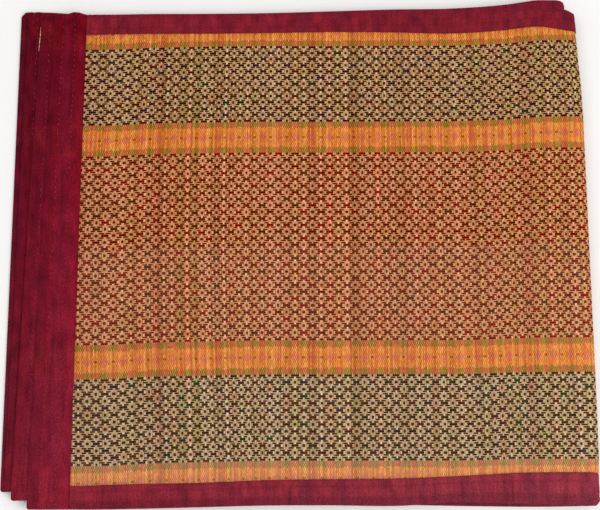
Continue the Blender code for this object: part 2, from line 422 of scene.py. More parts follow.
class MatStageSettings(bpy.types.PropertyGroup):
    """The floor, the light and the camera."""

    floor: colour_setting("Floor", "#F4F3F1", "Plain pale floor")
    elevation: bpy.props.FloatProperty(
        name="Elevation", description="Height of the camera's view above the horizon",
        subtype="ANGLE", default=math.radians(79.8), min=0, max=QUARTER_TURN,
    )
    distance: length_setting("Distance", 1.716, "From the camera to the point it looks at")
    lens: bpy.props.FloatProperty(
        name="Lens", description="Focal length in millimetres", unit="CAMERA", default=66, min=1
    )
    key_power: bpy.props.FloatProperty(
        name="Key light", description="Power of the soft key light", unit="POWER", default=30, min=0
    )


# The folded shape ---------------------------------------------------------------------


def smooth(share):
    """A soft step from 0 to 1."""
    share = np.clip(share, 0.0, 1.0)
    return share * share * (3.0 - 2.0 * share)


def mix(first, last, share):
    """The value at a share of the way from first to last."""
    return first + (last - first) * share


def curve_through(at, places, values):
    """Values at given places, on a smooth curve through a short table."""
    places, values = np.asarray(places, float), np.asarray(values, float)
    slopes = np.gradient(values, places)
    index = np.clip(np.searchsorted(places, at) - 1, 0, len(places) - 2)
    span = places[index + 1] - places[index]
    share = np.clip((at - places[index]) / span, 0, 1)
    near, far = values[index], values[index + 1]
    bow = share * (1 - share) * (
        (slopes[index] * span - far + near) * (1 - share) + (far - near - slopes[index + 1] * span) * share
    )
    return mix(near, far, share) + bow


def column(table, field, unit=MM):
    """One field of every row of a table, in metres where it is a length."""
    return np.array([getattr(row, field) for row in table]) * unit


def rows_at(half, x):
    """One row of arrays for places along one half of the mat, in metres."""
    table = sorted(half)
    places = column(table, "x")
    return Row(x, *(curve_through(x, places, column(table, field)) for field in Row._fields[1:]))


MAT_START = LOWER_OUTER.at_front * MM
STRAIGHT = FOLD_CENTRE_X - MAT_START
TURN = math.pi * FOLD_RADIUS


def line_at(mat):
    """Rows and bends at places along the mat, counted on the outer panel from its start."""
    mat = np.asarray(mat, float)
    share = np.clip((mat - STRAIGHT) / TURN, 0, 1)
    upper = rows_at(UPPER_HALF, np.minimum(MAT_START + mat, FOLD_CENTRE_X))
    lower = rows_at(LOWER_HALF, np.minimum(FOLD_CENTRE_X - (mat - STRAIGHT - TURN), FOLD_CENTRE_X))
    row = Row(*(np.where(share < 1, mix(a, b, share), b) for a, b in zip(upper, lower)))
    return Line(row, QUARTER_TURN * (1 - 2 * share), mat)


def mat_upper(x):
    """Place along the mat of a point on its upper half."""
    return x - MAT_START


def mat_lower(x):
    """Place along the mat of a point on its lower half."""
    return STRAIGHT + TURN + FOLD_CENTRE_X - x


def spread(first, last, step):
    """Evenly spaced values from first to last, no further apart than step."""
    return np.linspace(first, last, max(2, math.ceil(abs(last - first) / step) + 1))


def spread_along(first, last):
    """Places along the mat: close together on the upper half, further apart below."""
    return np.concatenate((
        spread(first, STRAIGHT + TURN / 2, CLOTH_STEP), spread(STRAIGHT + TURN / 2, last, UNSEEN_STEP)[1:]
    ))


def line_points(line, depth, y, pull=0.0):
    """Points of the folded stack, by their depth inside the middle of the outer panel."""
    half = line.row.spacing / 2
    drawn = smooth((line.row.x - FOLD_CENTRE_X + PULL_LENGTH) / PULL_LENGTH)
    x = line.row.x - pull * drawn + (half - depth) * np.cos(line.bend)
    z = HEM + half + (half - depth) * np.sin(line.bend)
    return np.stack(np.broadcast_arrays(x, y, z), axis=-1)


def reed_table():
    """Reed number at each millimetre along the mat."""
    mat = np.arange(0.0, mat_lower(MAT_START) + PAST_THE_END, MM)
    x = np.minimum(MAT_START + mat, FOLD_CENTRE_X)
    widths = curve_through(x, column(REPEAT_WIDTHS, "x"), column(REPEAT_WIDTHS, "width"))
    widths = np.where(mat > STRAIGHT, REPEAT_WIDTH * MM, widths)
    reeds = np.concatenate(([0.0], np.cumsum(REEDS_PER_REPEAT * MM / widths)[:-1]))
    at_flower = np.interp(mat_upper(FLOWER_AT_X * MM), mat, reeds)
    return mat, reeds - at_flower + REEDS_PER_REPEAT * FLOWER_NUMBER


REED_MAT, REED_NUMBERS = reed_table()
REEDS_TO_BEND = float(np.interp(STRAIGHT, REED_MAT, REED_NUMBERS))


def thread_at(y):
    """Warp thread number at a distance from the middle of the pattern."""
    places = column(BEATS, "y")
    beyond = np.where(y > places[-1], y - places[-1], np.minimum(y - places[0], 0))
    return np.interp(y, places, column(BEATS, "thread", 1)) + beyond / THREAD_PITCH


def y_at(thread):
    """Distance from the middle of the pattern at a warp thread number."""
    return np.interp(thread, column(BEATS, "thread", 1), column(BEATS, "y"))


def looseness(line):
    """How wide the weave is beaten, for each millimetre in its table."""
    return 1 + np.interp(line.row.x, column(LOOSENESS, "x"), column(LOOSENESS, "share", 1))


def weave_map(line, y):
    """Reed number and warp thread number at points of the mat."""
    reeds = np.interp(line.mat, REED_MAT, REED_NUMBERS)
    threads = thread_at((y - line.row.middle) / looseness(line))
    return np.stack(np.broadcast_arrays(reeds, threads), axis=-1)


def drift_at(line, thread):
    """How far the reeds lie from their straight place along the upper half."""
    threads = column(DRIFTS, "thread", 1)
    left = curve_through(thread, threads, column(DRIFTS, "left"))
    bend = curve_through(thread, threads, column(DRIFTS, "bend"))
    from_left = 1 - smooth((line.row.x - DRIFT_LEFT_X) / DRIFT_LEFT_LENGTH)
    to_bend = smooth((line.row.x - DRIFT_BEND_X) / DRIFT_BEND_LENGTH)
    return (left * from_left + bend * to_bend) * smooth((STRAIGHT - line.mat) / FOLD_RADIUS)


def corner_pull(inward):
    """How far the layers draw in from the bend, at a distance in from the back fold."""
    return curve_through(inward, column(BACK_CORNER, "inward"), column(BACK_CORNER, "pull"))


def back_wrap(along, offset):
    """Path over the back fold, from its crown: distance behind its centre, and depth."""
    angle = np.clip(along / BACK_TURN, -QUARTER_TURN, QUARTER_TURN)
    radius = BACK_TURN + offset
    beyond = np.maximum(np.abs(along) - BACK_QUARTER, 0)
    return radius * np.cos(angle) - beyond, BACK_TURN + radius * np.sin(angle)


def waver(place, seed, *lengths):
    """A smooth, uneven line between about -1 and 1, made of a few wavelengths.

    The numbers in its phase are arbitrary: they keep the seeds and the wavelengths apart.
    """
    total = 0.0
    for index, length in enumerate(lengths):
        phase = seed * (1.7 + 0.9 * index) + 0.6 * np.sin(place / length + seed)
        total = total + np.sin(2 * math.pi * place / length + phase)
    return total / len(lengths)


# Making meshes ------------------------------------------------------------------------


def linked(name, data):
    """A new object of that name in the scene."""
    piece = bpy.data.objects.new(name, data)
    bpy.context.scene.collection.objects.link(piece)
    return piece


def mesh_object(name, vertices, edges=(), faces=(), material=None):
    """A new mesh object in the scene, smooth and of one material where it has faces."""
    mesh = bpy.data.meshes.new(name)
    mesh.from_pydata(vertices, edges, faces)
    if material is not None:
        mesh.materials.append(material)
        mesh.shade_smooth()
    return linked(name, mesh)


def store(mesh, name, kind, field, values):
    """Store a value or a vector at each point of a mesh."""
    attribute = mesh.attributes.new(name, kind, "POINT")
    attribute.data.foreach_set(field, np.array(values, np.float32).ravel())


def sheet_object(name, points, weave, thickness, material, shade=None):
    """A grid of points as a thin closed sheet with the weave's UV map, and its shade if any."""
    rows, columns = points.shape[:2]
    corners = np.arange(rows * columns).reshape(rows, columns)
    quads = np.stack((corners[:-1, :-1], corners[1:, :-1], corners[1:, 1:], corners[:-1, 1:]), -1)
    piece = mesh_object(name, points.reshape(-1, 3), faces=quads.reshape(-1, 4), material=material)
    loops = np.empty(len(piece.data.loops), int)
    piece.data.loops.foreach_get("vertex_index", loops)
    layer = piece.data.uv_layers.new(name=WEAVE_MAP)
    layer.uv.foreach_set("vector", weave.reshape(-1, 2)[loops].astype(np.float32).ravel())
    if shade is not None:
        store(piece.data, SHADE, "FLOAT", "value", shade)
    wall = piece.modifiers.new("Thickness", "SOLIDIFY")
    wall.thickness = thickness
    wall.offset = 0.0
    wall.use_even_offset = True
    return piece


def grow(piece, name, tree, inputs):
    """Give a piece a node tree, and set the named inputs by their sockets' identifiers."""
    modifier = piece.modifiers.new(name, "NODES")
    modifier.node_group = tree
    sockets = {
        item.name: item.identifier
        for item in tree.interface.items_tree
        if item.item_type == "SOCKET" and item.in_out == "INPUT"
    }
    for label, value in inputs.items():
        modifier[sockets[label]] = value


def made_plain(piece, name):
    """The object's evaluated shape as a plain mesh object of that name."""
    evaluated = piece.evaluated_get(bpy.context.evaluated_depsgraph_get())
    mesh = bpy.data.meshes.new_from_object(evaluated)
    bent = piece.data
    bpy.data.objects.remove(piece)
    bpy.data.meshes.remove(bent)
    mesh.name = name
    return linked(name, mesh)


def add_node(tree, kind, inputs=(), output=0, **settings):
    """Add a node with its settings, set or link its inputs, and give one of its outputs."""
    node = tree.nodes.new(kind)
    for setting, value in settings.items():
        setattr(node, setting, value)
    for key, value in inputs.items() if isinstance(inputs, dict) else enumerate(inputs):
        if isinstance(value, bpy.types.NodeSocket):
            tree.links.new(value, node.inputs[key])
        elif isinstance(value, str) and value.startswith("#"):
            node.inputs[key].default_value = linear_colour(value)
        else:
            node.inputs[key].default_value = value
    return node.outputs[output]


# Kinds of node that the tables of nodes name, apart from those that only reckon
Kind = namedtuple("Kind", "node sockets settings output")
KINDS = {
    "BLEND": Kind("ShaderNodeMix", (0, 6, 7), {"data_type": "RGBA"}, 2),
    "DYE": Kind("ShaderNodeMix", (0, 6, 7), {"data_type": "RGBA", "blend_type": "MULTIPLY"}, 2),
    "GREY": Kind("ShaderNodeCombineColor", (0, 1, 2), {}, 0),
    "PAIR": Kind("ShaderNodeCombineXYZ", (0, 1), {}, 0),
    "STRETCH": Kind("ShaderNodeVectorMath", (0, 1), {"operation": "MULTIPLY"}, 0),
    "CHANCE": Kind("ShaderNodeTexWhiteNoise", ("W",), {"noise_dimensions": "1D"}, 0),
    "PAIR CHANCE": Kind("ShaderNodeTexWhiteNoise", ("Vector",), {"noise_dimensions": "2D"}, 0),
    "STREAKS": Kind("ShaderNodeTexNoise", ("W", "Scale", "Detail"), {"noise_dimensions": "1D"}, 0),
    "CLOUDS": Kind("ShaderNodeTexNoise", ("Vector", "Scale", "Detail"), {"noise_dimensions": "2D"}, 0),
    "SOLID CLOUDS": Kind("ShaderNodeTexNoise", ("Vector", "Scale", "Detail"), {}, 0),
    "RELIEF": Kind("ShaderNodeBump", ("Strength", "Distance", "Height"), {}, 0),
}


def work_out(tree, known, steps):
    """Follow a table of nodes: what each makes, its kind, and what goes in, known or fixed."""
    for name, kind, *values in steps:
        made = KINDS.get(kind, Kind("ShaderNodeMath", (0, 1, 2), {"operation": kind}, 0))
        inputs = {
            socket: known.get(value, value) if isinstance(value, str) else value
            for socket, value in zip(made.sockets, values)
        }
        known[name] = add_node(tree, made.node, inputs, made.output, **made.settings)
    return known


def new_geometry_tree(name, sockets):
    """An empty geometry tree with named inputs of the given kinds, and those inputs."""
    tree = bpy.data.node_groups.new(name, "GeometryNodeTree")
    tree.interface.new_socket("Geometry", in_out="OUTPUT", socket_type="NodeSocketGeometry")
    for label, kind in (("Geometry", "Geometry"), *sockets.items()):
        tree.interface.new_socket(label, in_out="INPUT", socket_type="NodeSocket" + kind)
    given = tree.nodes.new("NodeGroupInput")
    return tree, {socket.name: socket for socket in given.outputs}


def finish_tree(tree, geometry, material):
    """End a tree: instances made real, and the material set."""
    real = add_node(tree, "GeometryNodeRealizeInstances", [geometry])
    painted = add_node(tree, "GeometryNodeSetMaterial", {"Geometry": real, "Material": material})
    result = tree.nodes.new("NodeGroupOutput")
    tree.links.new(painted, result.inputs[0])


# Node trees for what repeats ----------------------------------------------------------


def reed_rib_tree():
    """Raises each reed of a panel as a rib, no two quite alike."""
    tree, given = new_geometry_tree("Reed ribs", {
        "Reed height": "Float", "Unevenness": "Float", "Seed": "Int", "Material": "Material",
    })
    weave = add_node(
        tree, "GeometryNodeInputNamedAttribute", {"Name": WEAVE_MAP}, data_type="FLOAT_VECTOR"
    )
    reed = add_node(tree, "ShaderNodeSeparateXYZ", [weave])
    known = work_out(tree, {"reed": reed}, (
        # Nudged, so that rounding gives no point on a reed's edge to the reed before it
        ("nudged", "ADD", "reed", 0.01),
        ("number", "FLOOR", "nudged"),
        ("phase", "SUBTRACT", "reed", "number"),
        ("half turn", "MULTIPLY", "phase", math.pi),
        ("rib", "SINE", "half turn"),
    ))
    chance = add_node(
        tree, "FunctionNodeRandomValue",
        {"Min": -0.5, "Max": 0.5, "ID": known["number"], "Seed": given["Seed"]}, output="Value",
        data_type="FLOAT",
    )
    known.update({"chance": chance, "unevenness": given["Unevenness"], "height": given["Reed height"]})
    work_out(tree, known, (
        ("own", "MULTIPLY_ADD", "chance", "unevenness", 1.0),
        ("tall", "MULTIPLY", "own", "height"),
        ("raise", "MULTIPLY", "tall", "rib"),
    ))
    normal = add_node(tree, "GeometryNodeInputNormal")
    lift = add_node(tree, "ShaderNodeVectorMath", {0: normal, "Scale": known["raise"]}, operation="SCALE")
    ribbed = add_node(tree, "GeometryNodeSetPosition", {"Geometry": given["Geometry"], "Offset": lift})
    finish_tree(tree, ribbed, given["Material"])
    return tree


def stitch_tree():
    """Lays stitches along seam lines, flat on the cloth."""
    tree, given = new_geometry_tree("Running stitch", {
        "Pitch": "Float", "Length": "Float", "Width": "Float", "Unevenness": "Float",
        "Seed": "Int", "Material": "Material",
    })
    curve = add_node(tree, "GeometryNodeMeshToCurve", [given["Geometry"]])
    spaced = add_node(
        tree, "GeometryNodeResampleCurve", {"Curve": curve, "Length": given["Pitch"]}, mode="LENGTH"
    )
    stray = Vector((STITCH_STRAY, STITCH_STRAY, 0.0))
    strayed = add_node(
        tree, "FunctionNodeRandomValue", {"Min": -stray, "Max": stray, "Seed": given["Seed"]},
        data_type="FLOAT_VECTOR",
    )
    spaced = add_node(tree, "GeometryNodeSetPosition", {"Geometry": spaced, "Offset": strayed})
    tangent = add_node(tree, "GeometryNodeInputTangent")
    outward = add_node(
        tree, "GeometryNodeInputNamedAttribute", {"Name": OUTWARD}, data_type="FLOAT_VECTOR"
    )
    along = add_node(tree, "FunctionNodeAlignRotationToVector", {"Vector": tangent}, axis="X")
    flat = add_node(
        tree, "FunctionNodeAlignRotationToVector", {"Rotation": along, "Vector": outward},
        axis="Z", pivot_axis="X",
    )
    known = {name: given[name] for name in ("Length", "Width", "Unevenness")}
    known["chance"] = add_node(
        tree, "FunctionNodeRandomValue", {"Min": -1.0, "Max": 1.0, "Seed": given["Seed"]},
        output="Value", data_type="FLOAT",
    )
    work_out(tree, known, (
        ("own", "MULTIPLY_ADD", "chance", "Unevenness", 1.0),
        ("long", "MULTIPLY", "own", "Length"),
        ("flat", "MULTIPLY", "Width", STITCH_FLATNESS),
        ("seen", "GREATER_THAN", "chance", STITCH_SUNK),
    ))
    size = add_node(tree, "ShaderNodeCombineXYZ", [known["long"], known["Width"], known["flat"]])
    bead = add_node(tree, "GeometryNodeMeshUVSphere", {"Segments": 6, "Rings": 4, "Radius": 0.5})
    stitches = add_node(
        tree, "GeometryNodeInstanceOnPoints",
        {"Points": spaced, "Selection": known["seen"], "Instance": bead, "Rotation": flat, "Scale": size},
    )
    finish_tree(tree, stitches, given["Material"])
    return tree


# Finishes -----------------------------------------------------------------------------

# Tables of nodes: what each makes, its kind, and what goes in, by name or as a fixed number
ZONE_STEPS = (
    # Zones from the middle outwards: the red field, then bands and dark zones in turn
    ("across", "ABSOLUTE", "thread"),
    ("in red", "LESS_THAN", "across", RED_THREADS + ZONE_MARGIN),
    ("outward", "SUBTRACT", "across", RED_THREADS + ZONE_MARGIN),
    ("zone", "FLOORED_MODULO", "outward", ZONE_STEP),
    ("short", "LESS_THAN", "zone", BAND_THREADS - 2 * ZONE_MARGIN),
    ("beyond red", "SUBTRACT", 1.0, "in red"),
    ("in band", "MULTIPLY", "short", "beyond red"),
    ("reed number", "FLOOR", "reed"),
    ("in reed", "FRACT", "reed"),
    ("reed chance", "CHANCE", "reed number"),
)

REED_AND_THREAD_STEPS = (
    # Row of the flower lattice, which starts again in the dark zone, and places in the weave
    ("dark row", "SUBTRACT", "zone", BAND_THREADS - ZONE_MARGIN),
    ("flower row", "MULTIPLY", "across", "in red"),
    ("other row", "MULTIPLY", "dark row", "beyond red"),
    ("row", "ADD", "flower row", "other row"),
    ("front half", "LESS_THAN", "thread", 0.0),
    ("edge band", "GREATER_THAN", "across", EDGE_THREADS),
    ("from core", "SUBTRACT", "in reed", 0.5),
    ("edge", "ABSOLUTE", "from core"),
    ("thread number", "FLOOR", "thread"),
    # One bundle of reeds to each column of flowers, and one place to each flower
    ("bundles", "MULTIPLY_ADD", "reed", 2.0 / REEDS_PER_REPEAT, 0.5),
    ("bundle number", "FLOOR", "bundles"),
    ("flower rows", "MULTIPLY_ADD", "thread", 2.0 / THREADS_PER_REPEAT, 0.5),
    ("flower number", "FLOOR", "flower rows"),
    ("bundle chance", "CHANCE", "bundle number"),
    ("flower", "PAIR", "bundle number", "flower number"),
    ("flower chance", "PAIR CHANCE", "flower"),
    ("crossing", "PAIR", "reed number", "thread number"),
    ("crossing chance", "PAIR CHANCE", "crossing"),
    # Streaks 10 mm long on each reed, and dye lots in broad bands of about 34 mm
    ("fibres", "PAIR", "reed number", "thread"),
    ("fibre", "CLOUDS", "fibres", 0.35, 2.0),
    ("lot", "STREAKS", "reed", 0.045, 2.0),
    # Each thread goes over every other reed in the bands
    ("step", "ADD", "reed number", "thread number"),
    ("step pair", "FLOORED_MODULO", "step", 2.0),
    ("over", "LESS_THAN", "step pair", 0.5),
)

FLOWER_STEPS = (
    # Half-drop lattice folded onto a quarter: reeds from the flower, threads from its middle
    ("column", "PINGPONG", "reed", REEDS_PER_REPEAT / 2),
    ("turn", "PINGPONG", "row", THREADS_PER_REPEAT / 2),
    ("far", "GREATER_THAN", "turn", THREADS_PER_REPEAT / 4),
    ("mirror", "MULTIPLY_ADD", "column", -2.0, REEDS_PER_REPEAT / 2),
    ("reeds off", "MULTIPLY_ADD", "far", "mirror", "column"),
    ("threads off", "PINGPONG", "turn", THREADS_PER_REPEAT / 4),
    # No two floats are quite as long
    ("half row", "ADD", "row", 0.5),
    ("whole row", "FLOOR", "half row"),
    ("own row", "MULTIPLY_ADD", "front half", 100.0, "whole row"),
    ("float place", "PAIR", "bundle number", "own row"),
    ("float chance", "PAIR CHANCE", "float place"),
    ("jog", "MULTIPLY_ADD", "float chance", 0.7, -0.35),
    ("jogged", "ADD", "reeds off", "jog"),
    # The eye of the flower and the long float beside it lie on a doubled thread
    ("on double", "LESS_THAN", "threads off", 0.58),
    ("eye", "LESS_THAN", "jogged", 1.35),
    ("long float", "GREATER_THAN", "jogged", 4.6),
    ("double float", "MAXIMUM", "eye", "long float"),
    ("doubled", "MULTIPLY", "on double", "double float"),
    # Shorter floats on the single threads close the lozenge
    ("on single", "COMPARE", "threads off", 1.0, 0.35),
    ("short float", "COMPARE", "jogged", 5.0, 2.2),
    ("single", "MULTIPLY", "on single", "short float"),
    ("float", "ADD", "doubled", "single"),
    # Colour of the reeds and of the threads over them
    ("dark zone straw", "BLEND", "front half", "straw", "front straw"),
    ("plain straw", "BLEND", "in red", "dark zone straw", "red field straw"),
    ("bundle straw", "DYE", 0.6, "plain straw", "bundle tint"),
    ("own straw", "DYE", 0.5, "bundle straw", "flower tint"),
    ("own thread", "BLEND", "in red", "dark tint", "red tint"),
    # Reeds are drawn down round the eye and stand up at the tips of the petals, painted as shade round the
    # eye and between petals and as light at the tips
    ("between petals", "COMPARE", "reeds off", 2.5, 0.5),
    ("in petals", "MULTIPLY_ADD", "between petals", -0.3, 0.83),
    ("petal light", "MULTIPLY_ADD", "reeds off", 0.06, "in petals"),
    ("petal grey", "GREY", "petal light", "petal light", "petal light"),
    ("petals", "DYE", 1.0, "own straw", "petal grey"),
    ("flowers", "BLEND", "float", "petals", "own thread"),
)

BAND_STEPS = (
    # The outer blocks at the front, and the middle row at the back edge, are half a repeat off
    ("band row", "ADD", "zone", ZONE_MARGIN),
    ("outer blocks", "GREATER_THAN", "band row", 11.0),
    ("front swap", "MULTIPLY", "front half", "outer blocks"),
    ("past blocks", "GREATER_THAN", "band row", 3.6),
    ("back half", "SUBTRACT", 1.0, "front half"),
    ("back edge", "MULTIPLY", "back half", "edge band"),
    ("back swap", "MULTIPLY", "back edge", "past blocks"),
    ("swap", "MAXIMUM", "front swap", "back swap"),
    ("place", "MULTIPLY_ADD", "swap", "mirror", "column"),
    # Colours fray into each other by a reed or a thread
    ("fray", "MULTIPLY_ADD", "crossing chance", 1.8, -0.9),
    ("frayed place", "ADD", "place", "fray"),
    ("from edge", "PINGPONG", "band row", BAND_THREADS / 2),
    ("frayed edge", "MULTIPLY_ADD", "fray", 0.6, "from edge"),
    ("from middle", "SUBTRACT", BAND_THREADS / 2, "from edge"),
    ("from off", "SUBTRACT", REEDS_PER_REPEAT / 2, "frayed place"),
    # A thread covers most of the reed it goes over, and half of the next
    ("cover", "MULTIPLY_ADD", "over", 0.35, 0.5),
    ("near flower", "LESS_THAN", "frayed place", 4.0),
    ("off flower", "SUBTRACT", 1.0, "near flower"),
    ("blocks", "LESS_THAN", "frayed edge", 3.2),
    ("block cover", "MULTIPLY", "blocks", "cover"),
    ("green", "MULTIPLY", "block cover", "near flower"),
    ("red", "MULTIPLY", "block cover", "off flower"),
    # Pink diamonds down the middle, and stars outlined in green between them
    ("tall", "DIVIDE", "from middle", 2.6),
    ("pink reach", "MULTIPLY_ADD", "from off", 0.27, "tall"),
    ("in pink", "LESS_THAN", "pink reach", 1.0),
    ("pink", "MULTIPLY", "in pink", "cover"),
    ("pink share", "MULTIPLY", "pink", 0.8),
    ("star reach", "MULTIPLY_ADD", "frayed place", 0.2, "tall"),
    ("on star", "COMPARE", "star reach", 1.0, 0.2),
    ("star", "MULTIPLY", "on star", "over"),
    ("star share", "MULTIPLY", "star", 0.42),
    ("eye row", "LESS_THAN", "from middle", 0.5),
    ("eye reeds", "LESS_THAN", "place", 1.6),
    ("star eye", "MULTIPLY", "eye row", "eye reeds"),
    ("star eye share", "MULTIPLY", "star eye", 0.6),
    ("own crossing", "MULTIPLY", "crossing chance", 0.6),
    ("plain share", "MULTIPLY_ADD", "reed chance", 0.4, "own crossing"),
    ("plain band", "BLEND", "plain share", "band orange", "band yellow"),
    ("pinked", "BLEND", "pink share", "plain band", "band pink"),
    ("starred", "BLEND", "star share", "pinked", "band green"),
    ("eyed", "BLEND", "star eye share", "starred", "red thread"),
    ("greened", "BLEND", "green", "eyed", "band green"),
    ("bands", "BLEND", "red", "greened", "band red"),
    ("tick", "MULTIPLY", "over", "in band"),
)

GRASS_LIGHT_STEPS = (
    # Gaps between reeds are in shade, and a thread sinks where it goes over a reed
    ("gap", "SMOOTH_MAX", "edge", 0.3, 0.05),
    ("shade", "MULTIPLY_ADD", "gap", -1.6, 1.5),
    ("streaky", "MULTIPLY_ADD", "in band", -0.06, 0.44),
    ("centred chance", "SUBTRACT", "reed chance", 0.5),
    ("own light", "MULTIPLY_ADD", "centred chance", "streaky", 1.0),
    ("fibre light", "MULTIPLY_ADD", "fibre", 0.44, 0.78),
    ("lot light", "MULTIPLY_ADD", "lot", 0.4, 0.8),
    ("tick light", "MULTIPLY_ADD", "tick", -0.3, 1.1),
    ("light one", "MULTIPLY", "own light", "fibre light"),
    ("light two", "MULTIPLY", "lot light", "tick light"),
    ("both lights", "MULTIPLY", "light one", "light two"),
    ("light", "MULTIPLY", "both lights", "shade"),
    # Shade between dry reeds is warm: it takes the blue first
    ("light green", "POWER", "light", 1.3),
    ("light blue", "POWER", "light", 1.6),
    ("warm light", "GREY", "light", "light green", "light blue"),
    ("unlit", "BLEND", "in band", "flowers", "bands"),
    ("lit", "DYE", 1.0, "unlit", "warm light"),
    # The front has faded a little, and its edge band most
    ("front edge", "MULTIPLY", "front half", "edge band"),
    ("edge fade", "MULTIPLY", "front edge", 0.08),
    ("fade", "MULTIPLY_ADD", "front half", 0.02, "edge fade"),
    ("colour", "BLEND", "fade", "lit", "#CBCBB3"),
    # Floats stand over the reeds, and fibres run along them
    ("float height", "MULTIPLY", "float", 0.6),
    ("fibre height", "MULTIPLY_ADD", "fibre", 0.5, "float height"),
    ("height", "MULTIPLY_ADD", "tick", 0.3, "fibre height"),
    ("relief", "RELIEF", 0.6, 0.3 * MM, "height"),
)

# Colour ramps: what drives them, how they run, and their stops
Ramp = namedtuple("Ramp", "name chance interpolation stops")
GRASS_RAMPS = (
    Ramp("bundle tint", "bundle chance", "LINEAR", (
        (0.0, "#E2F0B8"), (0.22, "#FFFFF0"), (0.6, "#FFFFFF"), (0.8, "#FFF0E0"), (1.0, "#FFDCD6"),
    )),
    Ramp("flower tint", "flower chance", "LINEAR", (
        (0.0, "#D2DC96"), (0.16, "#FFFFFF"), (0.84, "#FFFFFF"), (1.0, "#F8C4A8"),
    )),
    Ramp("dark tint", "flower chance", "CONSTANT", (
        (0.0, "#301204"), (0.6, "#280C1E"), (0.7, "#16200A"), (0.79, "#420E04"), (0.9, "#341E06"),
    )),
    Ramp("red tint", "flower chance", "CONSTANT", (
        (0.0, "#5E0E00"), (0.4, "#4C1A00"), (0.62, "#6C0A00"), (0.8, "#521602"),
    )),
)

# Settings that the steps above name
GRASS_COLOURS = (
    "straw", "front_straw", "red_field_straw", "red_thread",
    "band_orange", "band_yellow", "band_green", "band_red", "band_pink",
)

COTTON_STEPS = (
    # Patches of wear 16 by 32 mm, slubs 3 by 44 mm that follow the reeds under the cloth, and
    # lint 2.6 mm across, which is coarser than the real one so that it shows
    ("patch place", "STRETCH", "place", (1.0, 1.1, 1.0)),
    ("patch", "CLOUDS", "patch place", 0.1, 4.0),
    ("slub place", "STRETCH", "place", (1.0, 0.16, 1.0)),
    ("slub", "CLOUDS", "slub place", 0.5, 3.0),
    ("lint place", "STRETCH", "place", (1.0, 2.27, 1.0)),
    ("lint", "CLOUDS", "lint place", 0.6, 2.0),
    # Painted light and shade: the maroon runs from a lighter colour at the front to a darker one at the
    # back
    ("back share", "MULTIPLY_ADD", "thread", 0.0045, 0.5),
    ("both maroons", "BLEND", "back share", "front maroon", "back maroon"),
    ("tone", "STREAKS", "reed", 0.05, 1.0),
    ("purple tone", "MULTIPLY_ADD", "tone", 1.0, -0.42),
    ("purple share", "MAXIMUM", "purple tone", 0.0),
    ("purpled", "BLEND", "purple share", "both maroons", "#52182E"),
    # Painted light: the front is painted paler towards the bend, on the lamp's side
    ("front share", "SUBTRACT", 1.0, "back share"),
    ("from start", "PINGPONG", "reed", REEDS_TO_BEND),
    ("towards bend", "MULTIPLY_ADD", "from start", 0.0023, -0.23),
    ("bend share", "MAXIMUM", "towards bend", 0.0),
    ("washed", "MULTIPLY", "front share", "bend share"),
    ("wash share", "MULTIPLY", "washed", 0.11),
    ("toned", "BLEND", "wash share", "purpled", "#C06878"),
    # A little of the dyed reeds shows through
    ("in dark", "SUBTRACT", "beyond red", "in band"),
    ("uneven patch", "MULTIPLY_ADD", "patch", 2.4, -0.7),
    ("thin patch", "MAXIMUM", "uneven patch", 0.0),
    ("shown", "MULTIPLY", "thin patch", 0.14),
    ("dark shown", "MULTIPLY", "in dark", "shown"),
    ("band shown", "MULTIPLY", "in band", "shown"),
    ("shaded cloth", "BLEND", "dark shown", "toned", "#33202E"),
    ("cloth", "BLEND", "band shown", "shaded cloth", "#8A2A18"),
    ("patch light", "MULTIPLY_ADD", "patch", 1.1, 0.45),
    ("slub light", "MULTIPLY_ADD", "slub", 0.5, 0.75),
    ("lint light", "MULTIPLY_ADD", "lint", 1.1, 0.45),
    ("rib light", "MULTIPLY_ADD", "reed chance", 0.08, 0.96),
    ("light one", "MULTIPLY", "patch light", "slub light"),
    ("light two", "MULTIPLY", "lint light", "rib light"),
    ("both lights", "MULTIPLY", "light one", "light two"),
    ("light", "MULTIPLY", "both lights", "shade"),
    ("grey", "GREY", "light", "light", "light"),
    ("colour", "DYE", 1.0, "cloth", "grey"),
    # Reeds press through as fine ribs
    ("half turn", "MULTIPLY", "in reed", math.pi),
    ("rib", "SINE", "half turn"),
    ("own rib", "MULTIPLY", "rib", "reed chance"),
    ("patch height", "MULTIPLY_ADD", "patch", 4.0, "own rib"),
    ("lint height", "MULTIPLY_ADD", "lint", 1.6, "patch height"),
    ("height", "MULTIPLY_ADD", "slub", 1.6, "lint height"),
    ("relief", "RELIEF", 0.7, 0.35 * MM, "height"),
)


def paint(tree, shader, known):
    """Give a shader the colour that was worked out, and the relief if there is one."""
    tree.links.new(known["colour"], shader.inputs["Base Color"])
    if "relief" in known:
        tree.links.new(known["relief"], shader.inputs["Normal"])


def new_finish(name, roughness, specular):
    """A material with its node tree and its Principled shader."""
    material = bpy.data.materials.new(name)
    material.use_nodes = True
    shader = material.node_tree.nodes["Principled BSDF"]
    shader.inputs["Roughness"].default_value = roughness
    shader.inputs["Specular IOR Level"].default_value = specular
    return material, material.node_tree, shader


def weave_place(tree):
    """Reed and thread number at each point, and the zone of the weave that it lies in."""
    place = add_node(tree, "ShaderNodeUVMap", uv_map=WEAVE_MAP)
    parts = add_node(tree, "ShaderNodeSeparateXYZ", [place])
    known = {"place": place, "reed": parts, "thread": parts.node.outputs["Y"]}
    return work_out(tree, known, ZONE_STEPS)


